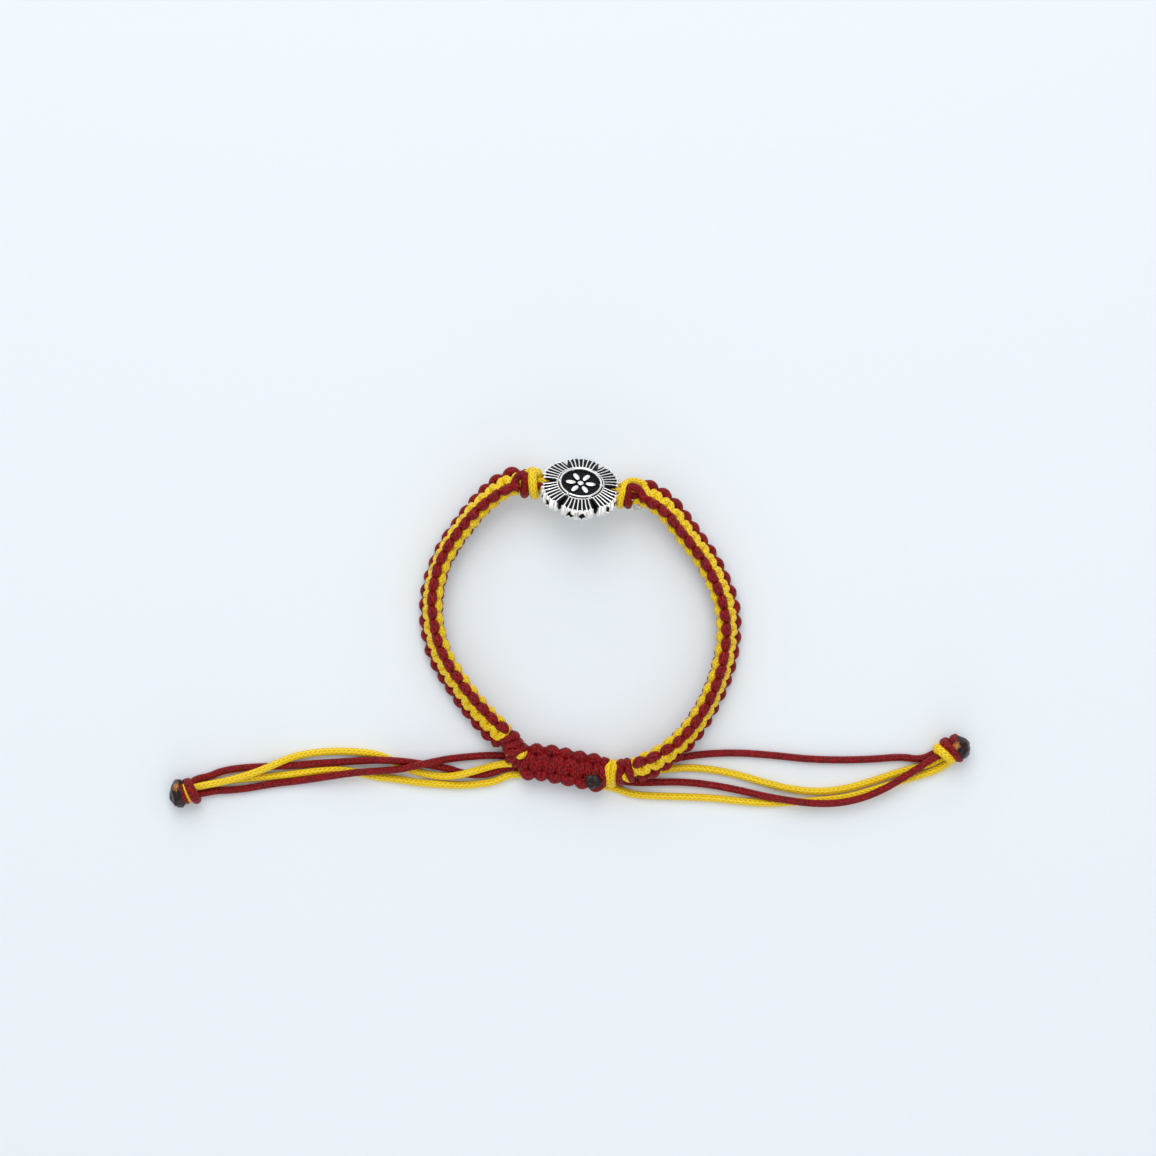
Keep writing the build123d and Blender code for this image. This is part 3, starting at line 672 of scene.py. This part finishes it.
# A row for each bend of an arm's middle line: shares of the loop's half width and
# half depth, rise in cord diameters, and lean from upright in degrees.
arm_rows = {
    "left": [
        (-0.377, 0.976, 1.95, 44), (-0.483, 0.953, 1.60, 38), (-0.626, 0.851, 0.95, 26),
        (-0.788, 0.669, 0.25, 16), (-0.937, 0.426, 0.00, 13), (-1.000, 0.135, 0.00, 18),
        (-0.957, -0.162, 0.00, 26), (-0.805, -0.436, 0.00, 32), (-0.609, -0.676, 0.15, 40),
    ],
    "right": [
        (0.377, 0.899, 1.85, 42), (0.526, 0.824, 1.40, 38), (0.709, 0.608, 0.50, 31),
        (0.874, 0.368, 0.00, 28), (0.977, 0.074, 0.00, 27), (0.970, -0.203, 0.00, 22),
        (0.871, -0.507, 0.00, 18), (0.682, -0.791, 0.55, 24), (0.517, -0.922, 1.20, 36),
    ],
}
arm_end_gap = 6.3                # from an arm's end to the sliding knot's face
arm_ends = {
    "left": (slide_faces["left"][0] + heading_vector(121.0) * arm_end_gap, 0.45, 48),
    "right": (slide_faces["right"][0] + heading_vector(13.6) * arm_end_gap, 1.00, 45),
}
arm_cores = (
    # across, out, wave of the bumps and thickness; the third shows on the inner edge
    (-0.55, 0.0, 0.0, 1.2),
    (0.55, 0.0, 0.0, 1.2),
    (1.66, -0.66, 0.17, 1.15),
)
bar_shares = (
    # of a half knot's bar: share of the pitch along, half width across, half depth out
    (-0.25, -0.90, -0.28), (-0.02, -0.86, -0.16), (-0.16, -0.66, 0.45), (-0.11, -0.38, 0.98),
    (0.0, 0.0, 1.12), (0.11, 0.38, 0.98), (0.16, 0.66, 0.45), (0.02, 0.86, -0.16),
)
hand = np.random.default_rng(5)  # no two knots of a hand-tied cord are quite alike


def smooth_through(points, spacing, start_way=None, end_way=None):
    """Evenly spaced points on a smooth line through given points."""
    points = np.asarray(points, float)
    runs = np.linalg.norm(np.diff(points, axis=0), axis=1)
    ways = np.diff(points, axis=0) / runs[:, None]
    slopes = np.empty_like(points)
    slopes[0] = ways[0] if start_way is None else start_way
    slopes[-1] = ways[-1] if end_way is None else end_way
    weights = (runs[:-1] + runs[1:])[:, None]
    slopes[1:-1] = (ways[:-1] * runs[1:, None] + ways[1:] * runs[:-1, None]) / weights
    pieces = []
    for k, run in enumerate(runs):
        t = np.linspace(0, 1, max(3, int(run / spacing * 2) + 2))[:-1, None]
        pieces.append((2 * t ** 3 - 3 * t ** 2 + 1) * points[k]
                      + (t ** 3 - 2 * t ** 2 + t) * run * slopes[k]
                      + (3 * t ** 2 - 2 * t ** 3) * points[k + 1]
                      + (t ** 3 - t ** 2) * run * slopes[k + 1])
    pieces.append(points[-1:])
    return evenly_spaced(np.concatenate(pieces), spacing)


class Band:
    """A knotted band's middle line, with the ways across it and out of its face."""

    def __init__(self, line, outward_side, places, leans):
        self.line = line
        self.outward_side = outward_side
        self.run = run_along(line)
        self.ways = unit(np.gradient(line, axis=0))
        self.places = places
        self.leans = leans

    def at(self, along):
        """Middle, way along, way across and way out at lengths along the band."""
        along = np.asarray(along, float)
        middle = np.stack([np.interp(along, self.run, self.line[:, k]) for k in range(3)], -1)
        way = unit(np.stack([np.interp(along, self.run, self.ways[:, k])
                             for k in range(3)], -1))
        past_end = (along - np.clip(along, 0, self.run[-1]))[..., None]
        middle = middle + way * past_end
        lean = np.radians(np.interp(along / self.run[-1], self.places, self.leans))[..., None]
        level_out = unit(np.cross(way, (0.0, 0.0, 1.0)) * self.outward_side)
        upright = unit(np.array((0.0, 0.0, 1.0)) - way * way[..., 2:3])
        out = level_out * np.cos(lean) + upright * np.sin(lean)
        across = upright * np.cos(lean) - level_out * np.sin(lean)
        return middle, way, across, out

    def place(self, rows):
        """Points of the room from rows of length along, across and out."""
        rows = np.asarray(rows, float)
        middle, way, across, out = self.at(rows[:, 0])
        return middle + across * rows[:, 1:2] + out * rows[:, 2:3]


def square_knots(start, count, pitch, half_width, half_depth, upper, lower):
    """Rows of length along, across and out for the two cords of square knots.

    upper and lower give the bumps on each edge, at their middle, shoulders and
    ends: how far across and out, as shares of the half width and half depth.
    """
    bar, loop = [], []
    for k in range(count):
        middle = start + (k + 0.5) * pitch / 2
        side = (-1) ** k
        near, far = (upper, lower) if side > 0 else (lower, upper)
        loop_shares = [
            (-0.25, *near[0]), (-0.06, *near[1]), (0.11, *near[2]), (0.18, 0.52, -0.1),
            (0.13, 0.40, -0.78), (0.0, 0.0, -1.06), (-0.13, -0.40, -0.78), (-0.18, -0.52, -0.1),
            (-0.11, -far[2][0], far[2][1]), (0.06, -far[1][0], far[1][1]),
        ]
        for rows, shares in ((bar, bar_shares), (loop, loop_shares)):
            rows += [(middle + along * pitch, across * half_width * side, out * half_depth)
                     for along, across, out in shares]
    bar.append((middle + 0.3 * pitch, 0.3 * half_width * side, -0.3 * half_depth))
    loop.append((middle + 0.3 * pitch, -0.3 * half_width * side, 0.2 * half_depth))
    return (np.array(rows) + hand.normal(0.0, hand_scatter, (len(rows), 3))
            for rows in (bar, loop))


def arm_height(rise, lean):
    """Height of an arm's middle, from its rise in cord diameters and its lean."""
    return (arm_width / 2 * math.cos(math.radians(lean))
            + arm_thickness / 2 * math.sin(math.radians(lean)) + rise * cord_diameter)


chain_edge = ((1.06, 0.9), (0.94, 0.95), (0.56, 0.7))
scallop_edge = ((1.1, 1.2), (1.02, 1.05), (0.84, 0.5))
bands = {}
for side, sign in (("left", -1), ("right", 1)):
    hole_exit = bead_middle + hole_way * bead_radius * sign
    points = [hole_exit]
    for across, along, rise, lean in arm_rows[side]:
        points.append(np.array((loop_middle[0] + across * loop_half_width,
                                loop_middle[1] + along * loop_half_depth,
                                arm_height(rise, lean))))
    end, rise, lean = arm_ends[side]
    points.append(end + (0.0, 0.0, arm_height(rise, lean)))
    points = np.array(points)
    places = run_along(points)
    places = places / places[-1]
    leans = [bead_lean] + [row[3] for row in arm_rows[side]] + [lean]
    line = smooth_through(points, 0.25, hole_way * sign, unit(points[-1] - points[-2]))
    band = Band(line, -sign, places, leans)
    bands[side] = band
    count = int(round((band.run[-1] - arm_start) / arm_knot_pitch * 2))
    pitch = (band.run[-1] - arm_start) / count * 2
    bar, loop = square_knots(arm_start, count, pitch, arm_cords_half_width,
                             arm_cords_half_depth, chain_edge, scallop_edge)
    for colour, rows in (("yellow", bar), ("red", loop)):
        rows = smooth_through(rows, knot_spacing)
        swell = (step_up(rows[:, 2], 0.5, 1.2) if colour == "yellow"
                 else step_up(np.abs(rows[:, 1]), 1.4, 2.3))
        skin = cord_skin(band.place(rows), arm_strands[colour] + arm_swell * swell,
                         hidden_sides, knot_relief, knot_columns, knot_stitch)
        cord_piece(f"arm_{side}_{colour}_cord", [skin], colour, f"band_{side}")
    core = []
    for across, out, wave, thick in arm_cores:
        at = np.arange(arm_start - 1.8, band.run[-1] + 0.5, 0.25)
        bumps = wave * np.cos(2 * math.pi * (at - arm_start - 0.5 * pitch) / pitch)
        tuck = wave * 7 * step_up(at, band.run[-1] - 1.6, band.run[-1])
        rows = np.stack([at, across + bumps - tuck, out - bumps + 0.5 * tuck], axis=1)
        core.append(cord_skin(band.place(rows), thick, hidden_sides))
    cord_piece(f"arm_{side}_core_cords", core, "yellow", f"band_{side}")

# Beside the bead each arm's two cords are brought off its outer face, over the upper
# edge and down round the core cords: the yellow one against the bead, then the red
# one. Each has its thickness and its rows: length from the bead, across and out.
wrap_relief = 0.035
wrap_stitch = 0.85
wrap_turns = {
    "left": {
        "yellow": (1.85, [
            (4.7, 1.5, 0.7), (3.9, 0.6, 1.2), (3.0, -0.2, 1.5), (2.1, -1.0, 1.75),
            (1.6, -1.2, 2.1), (1.35, -0.35, 2.45), (1.15, 0.85, 2.3), (0.9, 1.9, 1.6),
            (0.75, 2.4, 0.4), (0.65, 2.3, -0.85), (0.6, 1.6, -1.9), (0.65, 0.0, -2.45),
            (0.75, -1.75, -1.75), (0.85, -2.45, 0.0), (0.95, -1.9, 1.2), (1.1, -0.9, 1.4),
        ]),
        "red": (1.65, [
            (5.4, 2.2, 1.0), (4.7, 1.5, 1.8), (4.0, 0.7, 2.3), (3.1, 0.3, 2.55),
            (2.45, 0.8, 2.4), (2.3, 1.6, 1.8), (2.6, 2.3, 0.8), (3.1, 2.5, -0.4),
            (3.3, 1.9, -1.6), (3.1, 0.3, -2.2), (2.95, -1.3, -1.7), (2.9, -2.1, 0.0),
            (2.9, -1.3, 1.4),
        ]),
    },
    "right": {
        "yellow": (1.55, [
            (4.6, -1.2, 1.5), (3.6, -1.5, 1.75), (2.6, -1.5, 1.9), (1.7, -1.2, 2.1),
            (1.0, -0.4, 2.3), (0.5, 0.8, 2.15), (0.15, 1.7, 1.6), (0.0, 2.25, 0.5),
            (-0.05, 2.25, -0.7), (0.1, 1.6, -1.7), (0.3, 0.0, -2.3), (0.5, -1.6, -1.6),
            (0.7, -2.25, 0.0), (0.9, -1.4, 1.2),
        ]),
        "red": (1.6, [
            (5.0, 2.3, 1.0), (4.0, 1.7, 1.75), (2.9, 1.0, 2.15), (1.8, 0.6, 2.3),
            (1.1, 0.9, 2.15), (0.95, 1.6, 1.6), (1.0, 2.25, 0.6), (1.15, 2.4, -0.5),
            (1.3, 1.8, -1.6), (1.4, 0.2, -2.2), (1.5, -1.5, -1.6), (1.6, -2.1, 0.0),
            (1.7, -1.3, 1.2),
        ]),
    },
}
for side, turns in wrap_turns.items():
    for colour, (strand, rows) in turns.items():
        line = smooth_through(bands[side].place(rows), cord_spacing)
        skin = cord_skin(line, strand, cord_sides, wrap_relief, knot_columns, wrap_stitch)
        cord_piece(f"{colour}_turn_{side}", [skin], colour, f"{colour}_wrap_{side}")

# The core cords that run through the bead's hole to both arms: two, side by side, one
# of each colour. Only their ends beside the bead show.
core_diameter = 1.45
core_lengths = (0.0, 1.2, 2.5, 3.8)
for name, offset, colour in (("outer", 0.78, "red"), ("inner", -0.78, "yellow")):
    rows = [(at, offset, 0.0) for at in core_lengths]
    points = np.concatenate([bands["left"].place(rows[::-1]), bands["right"].place(rows)])
    skin = cord_skin(smooth_through(points, hidden_spacing), core_diameter, hidden_sides)
    cord_piece(f"core_cord_{name}", [skin], colour, f"bead_thread_{name}")

# The sliding knot: fat square knots of red cord over the tails, pulled tight so that
# it slides and still holds. Both of the knotting cord's parts are red here.
slide_lift = (0.0, 0.0, 2.45)
slide_strand = 2.0
slide_swell = 0.35
slide_columns = 14
slide_cords_half_width = 2.5     # of the cords' middle lines
slide_cords_half_depth = 1.28
slide_fillers = ((-1.7, 0.0), (0.0, 0.45), (1.7, 0.0), (0.0, -0.6))   # across and out
slide_filler_diameter = 2.2
slide_line = smooth_through([slide_faces["left"][0] + slide_lift,
                             slide_faces["right"][0] + slide_lift], 0.25,
                            slide_faces["left"][1] * -1, slide_faces["right"][1])
slide_band = Band(slide_line, 1, [0, 1], [90, 90])
slide_count = 12
slide_pitch = slide_band.run[-1] / slide_count * 2
slide_edge = ((1.14, 0.75), (1.0, 0.8), (0.74, 0.4))
slide_cords = square_knots(0, slide_count, slide_pitch, slide_cords_half_width,
                           slide_cords_half_depth, slide_edge, slide_edge)
slide_skins = []
for rows in slide_cords:
    rows = smooth_through(rows, knot_spacing)
    thick = slide_strand + slide_swell * step_up(rows[:, 2], 0.6, 1.4)
    slide_skins.append(cord_skin(slide_band.place(rows), thick, 18, wrap_relief,
                                 slide_columns, knot_stitch))
for across, out in slide_fillers:
    rows = [(at, across, out) for at in np.arange(-0.4, slide_band.run[-1] + 0.5, 0.5)]
    slide_skins.append(cord_skin(slide_band.place(rows), slide_filler_diameter, hidden_sides))
cord_piece("sliding_knot_cord", slide_skins, "red", "sliding_knot")


def lumpy_drop(name, node, middle, half_sizes, lump, seed, material, burnt_way):
    """A drop that flowed and set: a ball with soft lumps, burnt where burnt_way points."""
    shape = bmesh.new()
    bmesh.ops.create_icosphere(shape, subdivisions=4, radius=1.0)
    burnt = []
    for vertex in shape.verts:
        way = vertex.co.copy()
        here = way * 1.6 + Vector((seed, 0.0, 0.0))
        swell = noise.noise(here) + 0.5 * noise.noise(here * 2.3)
        burnt.append(max(0.0, way.dot(Vector(burnt_way)) * 9.0 - 8.0))
        vertex.co = Vector([middle[k] * MM + way[k] * half_sizes[k] * MM * (1 + lump * swell)
                            for k in range(3)])
    mesh = bpy.data.meshes.new(name)
    shape.to_mesh(mesh)
    shape.free()
    layer = mesh.attributes.new("burnt", "FLOAT", "POINT")
    layer.data.foreach_set("value", burnt)
    add_piece(name, mesh, material, node)


def melted_nylon():
    """Nylon melted with a flame: a glossy black skin with one amber spot."""
    material, tree = new_material("melted_nylon")
    scorched = add_node(tree, "ShaderNodeAttribute", {"attribute_name": "burnt"}, {})
    ripples = grain(tree, 900.0, 4.0)
    ragged = calculate(tree, "MULTIPLY_ADD", grain(tree, 3200.0, 3.0), 2.4,
                       scorched.outputs["Fac"])
    amber = add_node(tree, "ShaderNodeMapRange", {"interpolation_type": "SMOOTHSTEP"}, {
        "Value": ragged, "From Min": 1.45, "From Max": 2.1})
    red_shade = mix_colours(tree, ripples, linear_colour("#07090A"), linear_colour("#2C0A0E"))
    colour = mix_colours(tree, amber.outputs["Result"], red_shade, linear_colour("#B5702A"))
    skin = add_node(tree, "ShaderNodeBsdfPrincipled", {}, {
        "Base Color": colour, "Roughness": 0.22, "IOR": 1.53,
        "Specular IOR Level": 0.3, "Normal": bump(tree, ripples, 0.6, 0.0003)})
    coat(tree, skin)
    return material


def node_middle(name):
    """Middle and half sizes of a CAD node, in millimetres."""
    low, high = (np.array(corner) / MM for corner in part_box(name))
    return (low + high) / 2, (high - low) / 2


# Each place where cord ends were melted shut is a small black drop of nylon. The
# two at the ends of the tails have an amber spot where the flame burnt them.
melted = melted_nylon()
tip_shapes = {
    # seed, lumps, shift from the CAD node's middle, share of its size, burnt way
    "sliding_knot_tip": (3.0, 0.34, (0.0, 0.2, 0.0), (0.95, 0.78, 0.9), (0.0, 0.0, 0.0)),
    "melted_tip_left": (5.0, 0.16, (0.25, -0.5, 0.0), (1.6, 1.35, 1.1), (-0.3, 0.5, 0.81)),
    "melted_tip_right": (9.0, 0.16, (-0.35, 0.3, 0.15), (1.5, 1.25, 1.2), (-0.3, 0.25, 0.92)),
}
for name, (seed, lump, shift, grown, burnt_way) in tip_shapes.items():
    middle, half_sizes = node_middle(name)
    lumpy_drop(name + "_drop", name, middle + shift, half_sizes * grown, lump, seed, melted,
               burnt_way)


def turn_rows(at, across, lean, wide, deep):
    """One turn of cord round a bundle, its ends tucked in under the turn."""
    steps = 24
    drift = 0.4
    rows = []
    for step in range(-2, steps + 3):
        turn = 2 * math.pi * step / steps
        tuck = 1.0 if 0 <= step <= steps else 0.72
        rows.append((at + lean * math.cos(turn) + drift * (step / steps - 0.5),
                     across + tuck * wide * math.cos(turn),
                     tuck * deep * math.sin(turn)))
    return rows


def tied_knot(name, node, band, turns, filler_lengths, fillers, filler_diameter):
    """Turns of cord round three straight ones, with one piece for each colour.

    A turn is its colour, length along the band, place across, how far its upper side
    is further along, half width, half depth and strand. A filler is its colour and
    its place across and out.
    """
    skins = {"red": [], "yellow": []}
    for colour, at, across, lean, wide, deep, strand in turns:
        line = smooth_through(band.place(turn_rows(at, across, lean, wide, deep)), cord_spacing)
        skins[colour].append(cord_skin(line, strand, cord_sides, knot_relief, knot_columns,
                                       knot_stitch))
    for colour, across, out in fillers:
        rows = [(at, across, out) for at in filler_lengths]
        skins[colour].append(cord_skin(band.place(rows), filler_diameter, hidden_sides))
    for colour, cords in skins.items():
        cord_piece(f"{name}_{colour}_cord", cords, colour, node)


# The stopper knots tie each arm's four cords together just before the sliding knot.
# Their turns are counted from the arm's end.
stopper_leans = [48, 80]
stopper_fillers = (("yellow", -0.8, 0.5), ("red", 0.8, 0.5), ("yellow", 0.0, -0.8))
stopper_filler_diameter = 1.5
stopper_turns = {
    "left": [
        ("red", 0.6, 0.3, 0.4, 1.5, 1.45, 1.6), ("red", 1.9, 0.4, 0.5, 1.55, 1.5, 1.7),
        ("red", 3.3, 0.7, 0.5, 1.65, 1.7, 1.9), ("yellow", 4.6, 1.75, 0.2, 0.6, 1.9, 1.5),
        ("red", 4.6, -0.1, -0.2, 1.3, 1.65, 1.8), ("red", 5.8, 0.3, 0.0, 1.6, 1.5, 1.6),
    ],
    "right": [
        ("red", 1.3, 0.0, -0.5, 2.0, 1.6, 1.6), ("yellow", 2.4, 0.0, 0.6, 1.95, 1.55, 1.4),
        ("red", 3.15, 0.0, -0.9, 2.05, 1.65, 1.75), ("yellow", 4.65, 0.0, -0.7, 2.2, 1.85, 1.5),
        ("yellow", 5.95, 0.0, 0.15, 2.2, 1.6, 1.65),
    ],
}
for side, turns in stopper_turns.items():
    band = bands[side]
    start_point, way = band.at(band.run[-1])[:2]
    face, outward = slide_faces[side]
    target = face + slide_lift + (0.0, 0.35, 0.0)
    axis_line = smooth_through([start_point, target], hidden_spacing, way, outward * -1)
    stopper_band = Band(axis_line, band.outward_side, [0, 1], stopper_leans)
    lengths = np.arange(-0.5, stopper_band.run[-1] + 0.2, 0.5)
    tied_knot(f"stopper_{side}", f"band_knot_{side}", stopper_band, turns, lengths,
              stopper_fillers, stopper_filler_diameter)

# The end knots tie all four cords of a tail, whose ends are melted together behind
# them. Their turns are counted from the knot's mouth.
end_axis_lift = (0.0, 0.0, 2.85)
end_axis_length = 3.6
end_fillers = (("red", -0.8, 0.6), ("yellow", 0.8, 0.6), ("red", 0.0, -0.8))
end_filler_diameter = 1.6
end_turns = {
    "left": [
        ("red", 1.75, -0.6, 0.6, 1.85, 1.8, 2.0), ("yellow", 2.95, -0.6, 0.45, 1.85, 1.85, 0.9),
        ("red", 3.5, -0.6, 0.4, 1.75, 1.7, 1.4),
    ],
    "right": [
        ("yellow", 1.2, 0.7, -0.7, 1.75, 1.75, 1.95), ("red", 2.85, 0.7, -0.6, 2.1, 1.85, 1.95),
        ("red", 3.85, 0.7, 0.5, 1.9, 1.6, 1.75),
    ],
}
for side, turns in end_turns.items():
    mouth, tailward = end_mouths[side]
    axis_start = mouth + end_axis_lift
    line = smooth_through([axis_start, axis_start - tailward * end_axis_length], hidden_spacing)
    knot_band = Band(line, 1 if side == "right" else -1, [0, 1], [90, 90])
    tied_knot(f"end_knot_{side}", f"end_knot_{side}", knot_band, turns,
              np.arange(1.3, 4.4, 0.5), end_fillers, end_filler_diameter)

# For each tail, its line in metres is gathered with the knot and the melted end that it carries.
# Their lengths are the CAD model's, from the sliding knot to the end knot.
for name, tail in tails.items():
    side = name.split("_")[1]
    line = tail_lines[name] * MM
    carried = [bpy.data.objects[f"end_knot_{side}_{colour}_cord"] for colour in ("red", "yellow")]
    carried.append(bpy.data.objects[f"melted_tip_{side}_drop"])


def clear_glue():
    """Clear instant glue that has set."""
    material, tree = new_material("clear_set_glue")
    skin = add_node(tree, "ShaderNodeBsdfPrincipled", {}, {
        "Base Color": linear_colour("#FFFFFF"), "Roughness": 0.05, "IOR": 1.48,
        "Transmission Weight": 0.7, "Normal": bump(tree, grain(tree, 900.0), 0.3, 0.0002)})
    coat(tree, skin)
    return material


# A drop of clear instant glue, set hard beside the bead, holds the right arm's first
# knot to the core cords.
glue_middle, glue_half = node_middle("glue_drop")
lumpy_drop("set_glue_drop", "glue_drop", glue_middle, glue_half * 1.02, 0.2, 41.0,
           clear_glue(), (0.0, 0.0, 1.0))
